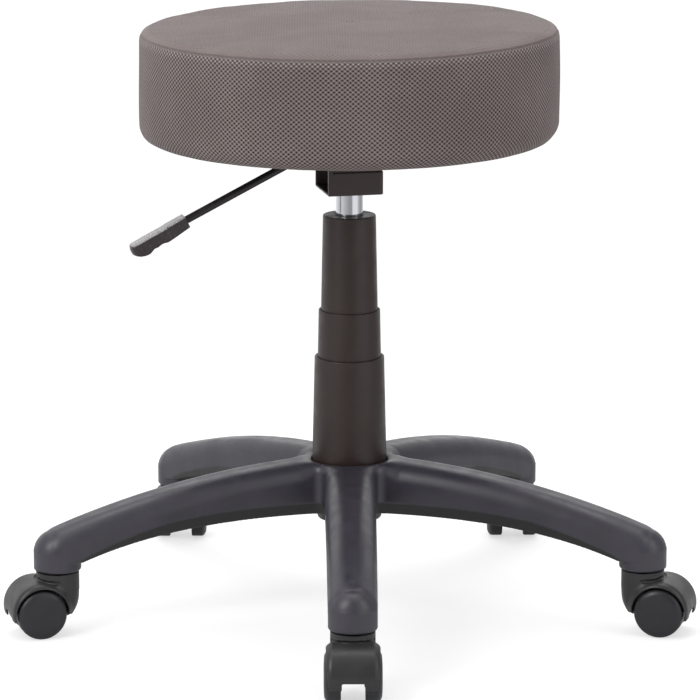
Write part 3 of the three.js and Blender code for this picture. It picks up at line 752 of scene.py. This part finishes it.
def cushion():
    """The padded seat: its outline turned round, filled, and sewn along the top's edge."""
    segments = 288
    flat, normals = seat_outline(INSET)
    full, _ = seat_outline()
    run = np.concatenate([[0], np.cumsum(np.linalg.norm(np.diff(full, axis=0), axis=1))])
    head = (SEAT_R - TOP_ROUND, SEAT_HIGH - TOP_ROUND)
    seam_r = head[0] + TOP_ROUND * math.cos(SEAM_ANGLE)
    seam_z = head[1] + TOP_ROUND * math.sin(SEAM_ANGLE)
    seam_at = int(np.argmin(np.hypot(full[:, 0] - seam_r, full[:, 1] - seam_z)))
    from_seam = run - run[seam_at]

    flat[0, 0] = flat[-1, 0] = 0
    start, faces = lathe([tuple(p) for p in flat], segments)
    between = [k for k in range(1, len(flat) - 1) for _ in range(segments)]
    rows = np.array([0] + between + [len(flat) - 1])
    around = np.arctan2(start[:, 1], start[:, 0])
    outward = np.stack([normals[rows, 0] * np.cos(around), normals[rows, 0] * np.sin(around),
                        normals[rows, 1]], 1)
    moves = swollen(start)
    grown = start + moves

    d = from_seam[rows]
    groove = -0.45 * np.exp(-(d / 0.8) ** 2)
    welt = 0.55 * np.exp(-((d - 2.2) / 1.3) ** 2) + 0.3 * np.exp(-((d + 2.2) / 1.3) ** 2)
    x, y, z = start.T
    lively = 0.25 * np.sin(x / 19 + 1.3) * np.cos(y / 23 + 0.4) + 0.2 * np.sin(5 * around + z / 17)
    lively *= np.clip((z - SEAT_LOW - 6) / 20, 0, 1)
    grown += outward * (groove + welt + lively)[:, None]
    grown[:, 2] += LEAN * x * np.clip((z - SEAT_LOW) / 6, 0.4, 1)

    pad = mesh_object("seat_cushion", grown, faces, sharp=0)
    past_folds = np.where(d < 0, d / 0.9, np.maximum(d - 5, 0) / 3)
    point_values(pad, "run", run[rows])
    point_values(pad, "on_top", np.clip(0.5 + d / 0.3, 0, 1))
    point_values(pad, "seam", np.exp(-(d / 0.9) ** 2))
    point_values(pad, "shoulder", 0.7 * np.exp(-((d + 4) / 3) ** 2))
    point_values(pad, "closed", 0.8 * np.exp(-past_folds ** 2))
    fit(pad, air_mesh(), "seat_fabric", "seat_cover", "foam_pad")


def dust_cover():
    """Black cloth stapled under the board, a little slack between its staples."""
    low, high = span("dust_cover")
    radius, taut_r = half_width("dust_cover"), 132
    staples, segments, rings = 24, 240, 60
    level = (low + high) / 2
    points, faces = [(0, 0, level)], []
    for i in range(1, rings + 1):
        r = radius * i / rings
        slack = max(0.0, (r - taut_r) / (radius - taut_r))
        for k in range(segments):
            a = TAU * k / segments
            pulled = 1 + math.cos(staples * a)
            sag = -1.3 * math.sin(math.pi * slack) - 0.45 * slack ** 3 * pulled
            edge = r - 0.8 * slack ** 6 * pulled / 2
            points.append((edge * math.cos(a), edge * math.sin(a), level + sag))
    for k in range(segments):
        faces.append([0, 1 + (k + 1) % segments, 1 + k])
    for i in range(rings - 1):
        a, b = 1 + i * segments, 1 + (i + 1) * segments
        for k in range(segments):
            n = (k + 1) % segments
            faces.append([a + k, a + n, b + n, b + k])
    sheet = mesh_object("dust_cover_cloth", points, faces, sharp=0)
    thick = sheet.modifiers.new("thickness", "SOLIDIFY")
    thick.thickness = 0.4 * MM
    thick.offset = 0
    fit(sheet, nonwoven(), "black_cloth", "dust_cover")


# ---------------------------------------------------------------- mechanism

LEVER_AXIS = next(j["axis"] for j in frame["joints"] if j["name"] == "lever_tilt")
MECHANISM_TURN = math.atan2(-LEVER_AXIS[0], LEVER_AXIS[1])
BRACKET_LOWER_TOP = 457.6  # the bracket is a little narrower above this
SOCKET_R = 14.4
PIVOT_X, PIVOT_Z = -22.0, 475.6
BEND_X = PIVOT_X - 17
ROD_R = 4.0
ROD_SLOPE = 0.502  # fall of the lever's outer part per millimetre outwards
GRIP_START, GRIP_END = 168.0, 225.0


def bracket():
    """A steel box, open at the lever's end, with a hole for the cylinder's socket."""
    low, high = span("bracket")
    half_long, half_wide, wall = 28.5, 31.5, 2.5
    corner, step = 4.0, 0.9

    def distance(p):
        x, y, z = p.T
        plan = round_and(x - half_long, np.abs(y) - half_wide, corner)
        walls = np.maximum(plan, -half_long - x)
        inner = round_and(x - half_long + wall, np.abs(y) - half_wide + wall, corner / 2)
        above = np.clip((z - BRACKET_LOWER_TOP) / 0.8, 0, 1) * (x > 4 - half_long)
        block = round_and(np.maximum(z - high, low - z), walls + step * above, 0.9)
        block = np.maximum(block, -np.maximum(inner, low + wall - z))
        return np.maximum(block, SOCKET_R - np.hypot(x, y))

    points, faces = iso_surface(distance, (-31, -34, low - 2), (31, 34, high + 2), 0.75)
    box = mesh_object("tension_bracket", turned(points, MECHANISM_TURN), faces, sharp=50)
    fit(box, painted_steel("bracket_paint", (56, 42, 43)), "black_steel", "bracket")


def rod_height(x):
    """Height of the rod's middle where it slopes down to the grip."""
    return PIVOT_Z - (BEND_X - x) * ROD_SLOPE


def lever_rod():
    """Round bar, flattened where it sits in the ears, with one bend down to the grip."""
    bend_end = (BEND_X - 9, rod_height(BEND_X - 9))
    bend = bezier([(BEND_X + 6, PIVOT_Z), (BEND_X, PIVOT_Z), bend_end], 12)
    inner = [(6.5, PIVOT_Z), (-6, PIVOT_Z), (PIVOT_X, PIVOT_Z)]
    tip = -(GRIP_END - 10)
    outer = [(x, rod_height(x)) for x in np.linspace(BEND_X - 12, tip, 24)]
    line = np.concatenate([inner, bend, outer])
    sides = 24
    points, faces = [], []
    ahead = np.gradient(line, axis=0)
    ahead /= np.linalg.norm(ahead, axis=1, keepdims=True)
    for (x, z), (dx, dz) in zip(line, ahead):
        flat = min(1.0, max(0.0, (x - PIVOT_X + 6) / 10))
        wide, tall = ROD_R + 1.6 * flat, ROD_R - 0.6 * flat
        for k in range(sides):
            a = TAU * k / sides
            across, up = wide * math.cos(a), tall * math.sin(a)
            points.append((x - dz * up, across, z + dx * up))
    for i in range(len(line) - 1):
        a, b = i * sides, (i + 1) * sides
        for k in range(sides):
            n = (k + 1) % sides
            faces.append([a + k, b + k, b + n, a + n])
    faces.append(list(range(sides)))
    faces.append([len(points) - 1 - k for k in range(sides)])
    rod = mesh_object("lever_bar", turned(points, MECHANISM_TURN), faces, sharp=45)
    fit(rod, painted_steel("lever_paint", (36, 32, 34), 0.24), "black_steel", "lever_rod")


# The grip's lower edge with its three finger bumps: places along it, and heights there.
GRIP_LOW = (
    (0, 22, 27, 30, 32, 35, 38, 40, 42, 45, 48, 52, 57, 61, 64),
    (-6.6, -9.1, -9.3, -8.4, -8.0, -8.3, -8.9, -8.7, -8.5, -9.9, -11.0, -10.8, -9.6, -7, -5),
)
GRIP_RIDGE = 5.2  # millimetres from one ridge to the next
GRIP_NOSE = 8.5  # length of the rounded end


def lever_grip():
    """A paddle with ridges on top, three finger bumps below and a rounded end."""
    slope = math.atan(ROD_SLOPE)
    length = (GRIP_END - GRIP_START) * math.hypot(1, ROD_SLOPE)

    def distance(p):
        along, y, z = p.T
        low = np.interp(along, GRIP_LOW[0], GRIP_LOW[1])
        ridged = (np.abs(y) < 6) * (along > 26) * (along < length - 12)
        ridges = ridged * 0.35 * np.cos(along * TAU / GRIP_RIDGE)
        high = 5.8 - 0.5 * np.clip((along - 22) / 3, 0, 1) + ridges
        half = 9.2 + 1.2 * np.sin(np.clip(along / length, 0, 1) * math.pi * 0.9)
        sides = np.abs(y) - half + 0.9 * np.exp(-((along - 21.5) / 0.9) ** 2)
        end = np.hypot(np.maximum(along - length + 7.5, 0), np.maximum(np.abs(y) - 1.5, 0)) - 9
        plan = round_and(sides, end, 2.0)
        nose = np.hypot(np.maximum(along - length + GRIP_NOSE, 0), z + 2.6) - 10
        nose = np.where(along < length - GRIP_NOSE, -5.0, nose)
        rounding = np.interp(along, [0, 20, 45], [2.5, 4.5, 5.5])
        body = round_and(plan, np.maximum(z - high, nose), rounding)
        body = round_and(body, low - z, 1.5)
        body = round_and(body, -along, 0.8)
        return np.maximum(body, np.minimum(ROD_R + 0.3 - np.hypot(y, z), length - 8 - along))

    points, faces = iso_surface(distance, (-2, -13, -13), (length + 4, 13, 9), 0.6)
    along, across, up = points.T
    x = -along * math.cos(slope) - up * math.sin(slope) - GRIP_START
    z = -along * math.sin(slope) + up * math.cos(slope) + rod_height(-GRIP_START)
    placed = np.stack([x, -across, z], 1)
    grip = mesh_object("lever_paddle", turned(placed, MECHANISM_TURN), faces, sharp=55)
    fit(grip, grip_plastic(), "grip_plastic", "lever_grip")


def column():
    """The gas cylinder, bright where it shows between the bracket and the upper cover."""
    low, high = span("gas_cylinder")
    outer, bore, button_hole, top_wall, taper_start = 14, 12.4, 3.3, 18, 436
    outline = eased([
        (bore, low, 0.4), (outer, low, 0.8), (outer, taper_start, 0), (13.2, high - 1, 0.5),
        (12.2, high, 0.3), (button_hole, high, 0.3), (button_hole, high - top_wall, 0),
        (bore, high - top_wall, 0),
    ])
    tube = mesh_object("gas_spring", *lathe(outline, 96))
    look = bright_metal("chrome", (226, 227, 233), 0.06, (1, 1, 0.04), 0.02, 0.93)
    fit(tube, look, "chrome", "gas_cylinder")


def sleeves():
    """Three telescopic covers with soft lips and a thin rim at each free foot."""
    look = moulded_plastic("cover_plastic", (52, 39, 36), 0.44, grain=0.9, depth=0.02, paleness=1.5)
    covers = (
        ("upper", 26.9, 29.1, 29.5, 1.3, 14.4),
        ("middle", 31.3, 32.5, 33.0, 1.4, 29.35),
        ("lower", 35.5, 38.2, None, 1.8, 32.75),
    )
    for name, top_r, foot_r, rim_r, wall, lip_r in covers:
        foot, top = span(name + "_sleeve")
        outline = [(foot_r - wall, foot, 0.3)]
        if rim_r:
            outline += [(rim_r, foot, 0.4), (rim_r, foot + 2.4, 0.4), (foot_r, foot + 3, 0.3)]
        else:
            outline += [(foot_r, foot, 0.5)]
        outline += [
            (top_r, top, 1.3), (lip_r, top, 0.6), (lip_r, top - 3, 0.3),
            (top_r - wall, top - 3.4, 0.8),
        ]
        sleeve = mesh_object(name + "_cover", *lathe(eased(outline), 128))
        fit(sleeve, look, "cover_plastic", name + "_sleeve")


# ---------------------------------------------------------------- base

STEM_CIRCLE_R = (middle("caster_front_stem").xy - Vector((0, AXIS_Y))).length / MM
STEM_HOLE_R = 5.8
LEG_TURN = TAU / 5
LEG_HALF_WIDTH = 25.6
LEG_WALL = 4.0
RIB_PLACES = (110, 168, 226)  # distances of the cross ribs from the axis
BAYS_START, BAYS_END = 54, 280  # the hollows under a leg lie between these distances
CUP_R, CUP_BOTTOM, CUP_TOP = 23.9, 65.9, 88
HUB_R, HUB_BOTTOM, HUB_INNER_TOP = 46.0, 94, 120
FOOT_RECESS_R, FOOT_RECESS_Z = 38.7, 150.1  # where the lowest cover stands in the hub
CREST = bezier([(44, 159), (140, 155), (235, 136), (318, 105.5)])
UNDERSIDE = bezier([(44, 105.5), (130, 108), (215, 102), (289, 75.5)])
# The set-back band along a leg's lower edge: places along the leg, and the band's height there.
BAND_S, BAND_H = (0, 200, 285, 300), (12.5, 12.5, 5, 0)


def leg_polar(x, y):
    """Distance from the swivel axis, and angle from the middle of the nearest leg."""
    angle = (np.arctan2(y, x) + math.pi / 2 + LEG_TURN / 2) % LEG_TURN - LEG_TURN / 2
    return np.hypot(x, y), angle


def leg_plan(s, t):
    """Distance from the outline of one leg seen from above, s along it and t across."""
    widths = [LEG_HALF_WIDTH, LEG_HALF_WIDTH, CUP_R]
    straight = np.abs(t) - np.interp(s, [0, 110, STEM_CIRCLE_R], widths)
    return np.where(s < STEM_CIRCLE_R, straight, np.hypot(s - STEM_CIRCLE_R, t) - CUP_R)


def base_distance(p):
    """Signed distance to the base: five arched hollow legs round a hub, with cups for casters."""
    x, y, z = p.T
    rho, angle = leg_polar(x, y)
    s, t = rho * np.cos(angle), rho * np.abs(np.sin(angle))
    beside = LEG_TURN - np.abs(angle)
    neighbour = leg_plan(rho * np.cos(beside), rho * np.sin(beside))
    leg = leg_plan(s, t)
    plan = round_or(np.minimum(leg, rho - HUB_R), neighbour, 13.0)

    under = np.interp(s, UNDERSIDE[:, 0], UNDERSIDE[:, 1])
    band = np.interp(s, BAND_S, BAND_H)
    depth = np.maximum(under + band - z, 0)
    shrink = 0.2 * depth + 0.7 * np.clip(depth / 1.2, 0, 1) * (band > 0)
    plan = plan + shrink

    dip = 0.9 * np.clip(1 - (t / 13) ** 2, 0, 1) * np.interp(s, [50, 90, 260, 300], [0, 1, 1, 0])
    near_hub = np.clip((51 - rho) / 12, 0, 1)
    collar = near_hub ** 2 * (np.sin(2.5 * angle) ** 2 - 3.6)
    crest = np.interp(s, CREST[:, 0], CREST[:, 1]) - dip + collar
    fall = np.hypot(1, np.interp(s, [44, 318], [0.04, 0.37]))
    shoulder = np.interp(s, [40, 60, 290, 325], [10, 20, 20, 21])
    body = round_and(plan, (z - crest) / fall, shoulder)
    body = round_and(body, under - z, 1.4)

    hollow = round_and(leg + shrink + LEG_WALL, z - crest + 4.5, 15.5)
    hollow = np.maximum(hollow, np.maximum(BAYS_START - s, s - BAYS_END))
    for rib in RIB_PLACES:
        hollow = np.maximum(hollow, 1.4 - np.abs(s - rib))
    body = round_and(body, -hollow, 0.9)

    from_stem = np.hypot(s - STEM_CIRCLE_R, t)
    cup = round_and(from_stem - CUP_R, np.maximum(CUP_BOTTOM - z, z - CUP_TOP), 1.3)
    boss = round_and(rho - 33, np.maximum(HUB_BOTTOM - z, z - HUB_INNER_TOP), 2.5)
    body = np.minimum(np.minimum(body, cup), boss)
    recess = np.maximum(rho - FOOT_RECESS_R, FOOT_RECESS_Z - z)
    body = round_and(body, -recess, 1.0)
    ring_seat = np.maximum(rho - 27.9, 112 - z)
    body = np.maximum(body, -ring_seat)
    column_bore = rho - 25.3
    body = np.maximum(body, -column_bore)
    stem_hole = np.maximum(from_stem - STEM_HOLE_R, z - 92)
    return np.maximum(body, -stem_hole)


def star_base():
    """The base, with painted shade darkening each leg's lower band."""
    reach = STEM_CIRCLE_R + CUP_R + 5
    step = 1.6
    points, faces = iso_surface(base_distance, (-reach, -reach, 60), (reach, reach, 168), step)
    base = mesh_object("five_leg_base", points, faces, sharp=0)
    x, y, z = points.T
    rho, angle = leg_polar(x, y)
    along = rho * np.cos(angle)
    # painted shade on each leg's lower band, below its crease, where it faces downward
    edge = np.interp(along, UNDERSIDE[:, 0], UNDERSIDE[:, 1]) + np.interp(along, BAND_S, BAND_H)
    point_values(base, "painted_shade", np.clip(edge - z, 0, 1) * (along < 292))
    look = moulded_plastic(
        "base_nylon", (58, 55, 66), 0.4, 0.9, paleness=1.5, painted_shade=(18, 14, 15), shine=0.75
    )
    fit(base, look, "base_nylon", "star_base")


# ---------------------------------------------------------------- casters

TRAIL = 22.0
WHEEL_R = 25.0
WHEEL_ROOM_R = 27.3
AXLE_HOLE_R = 3.3
HOOD_R, HOOD_Z, HOOD_HALF, HOOD_ROUND = 29.7, 27.6, 27.0, 8.0
WEB_HALF = 10.5  # half the thickness between the wheels
NECK_R, NECK_TOP = 21.8, 63.9
NECK_LEAD = 22.1
CHIN_U, CHIN_Z, CHIN_R = 19.5, 45, 41.6  # the ball that rounds the neck's leading side
GROOVE_Z, GROOVE_R = 57.6, 1.9
WHEEL_OUTLINE = [
    (0, 11.75, 0), (24.0, 11.75, 0.5), (25, 12.6, 0.8), (25, 24.6, 5.5), (20.6, 27.6, 2.2),
    (12, 28.15, 4.0), (0, 28.15, 0),
]


def hood_distance(p):
    """Signed distance to a caster's housing, u along its trail, v across it and z up."""
    u, v, z = p.T
    across, from_stem = np.abs(v), np.hypot(u, v)
    reach = np.hypot(u - TRAIL, z - WHEEL_R)
    hood = round_and(np.hypot(u - TRAIL, z - HOOD_Z) - HOOD_R, across - HOOD_HALF, HOOD_ROUND)
    web_low, side_low = 20 + 0.2 * np.maximum(u - TRAIL, 0), 21.5 - 0.1 * (u - TRAIL)
    lowest = np.where(across < WEB_HALF, web_low, side_low)
    hood = np.maximum(hood, lowest - z)
    neck = np.maximum(from_stem - NECK_R, z - NECK_TOP)
    ball = np.hypot(np.hypot(u - CHIN_U, z - CHIN_Z), 1.2 * v) - CHIN_R
    chin = np.where(z < CHIN_Z, ball, -u - NECK_LEAD)
    neck = round_and(neck, np.maximum(chin, lowest - z), 2.5)
    body = round_or(hood, neck, 4.0)
    groove_z = GROOVE_Z - 0.12 * np.maximum(across - 8, 0)
    groove = np.hypot(from_stem - NECK_R - 0.5, z - groove_z) - GROOVE_R
    body = np.maximum(body, -np.maximum(groove, 3 - u))
    room = np.maximum(reach - WHEEL_ROOM_R, WEB_HALF - across)
    body = round_and(body, -room, 0.7)
    body = np.maximum(body, AXLE_HOLE_R - reach)
    return np.maximum(body, -np.maximum(from_stem - STEM_HOLE_R, 52 - z))


def casters():
    """Five hooded housings, each with two wheels."""
    step = 0.7
    hood_points, hood_faces = iso_surface(hood_distance, (-25, -30, 9), (55, 30, 67), step)
    wheel_points, wheel_faces = lathe(eased(WHEEL_OUTLINE, 5), 96)
    hood_look = moulded_plastic("caster_nylon", (52, 52, 53), 0.38, depth=0.025, paleness=1.6)
    wheel_look = moulded_plastic("wheel_nylon", (44, 44, 48), 0.36, grain=0.6, depth=0.02, paleness=1.5)
    for name in ("front", "right", "rear_right", "rear_left", "left"):
        stem, axle = middle(f"caster_{name}_stem") / MM, middle(f"caster_{name}_axle") / MM
        trail = math.atan2(axle.y - stem.y, axle.x - stem.x)
        x, y = stem.x, stem.y - AXIS_Y / MM
        placed = turned(hood_points, trail) + (x, y, 0)
        hood = mesh_object(f"caster_{name}_hood", placed, hood_faces, sharp=50)
        fit(hood, hood_look, "caster_nylon", f"caster_{name}_housing")
        for side, sign in (("left", 1), ("right", -1)):
            a, b, c = wheel_points.T
            rolled = np.stack([TRAIL + a, sign * c, WHEEL_R - sign * b], 1)
            placed = turned(rolled, trail) + (x, y, 0)
            wheel = mesh_object(f"caster_{name}_{side}_roller", placed, wheel_faces, sharp=40)
            fit(wheel, wheel_look, "wheel_nylon", f"caster_{name}_wheel_{side}")


# ---------------------------------------------------------------- pieces that keep their CAD shape


def carried_over():
    """Materials for the pieces that stay as the CAD has them, and soft edges for the plate."""
    zinc = bright_metal("zinc", (176, 178, 180), 0.32, (1, 1, 1), 0.18)
    black = painted_steel("plate_paint", (52, 46, 47))
    white = moulded_plastic("acetal", (214, 214, 206), 0.4, depth=0.02, paleness=1.05)
    looks = [
        (plywood(), ["seat_board"]),
        (foam(), ["foam_pad"]),
        (black, ["mounting_plate", "outer_column_tube"]),
        (bright_metal("rod_steel", (206, 208, 212), 0.12), ["piston_rod"]),
        (soft_rubber(), ["rubber_bumper", "rod_guide"]),
        (white, ["guide_bush", "ball_cage"]),
    ]
    look_of = {name: look for look, nodes in looks for name in nodes}
    for name, piece in frame["nodes"].items():
        if name in look_of or not piece.hide_render:
            piece.data.materials.clear()
            piece.data.materials.append(look_of.get(name, zinc))
    for name in ("mounting_plate", "plate_bolt_1", "plate_bolt_2", "plate_bolt_3", "plate_bolt_4"):
        bevel = frame["nodes"][name].modifiers.new("edges", "BEVEL")
        bevel.width = 0.5 * MM
        bevel.segments = 2
        bevel.limit_method = "ANGLE"


camera()
studio()
cushion()
dust_cover()
bracket()
lever_rod()
lever_grip()
column()
sleeves()
star_base()
casters()
carried_over()
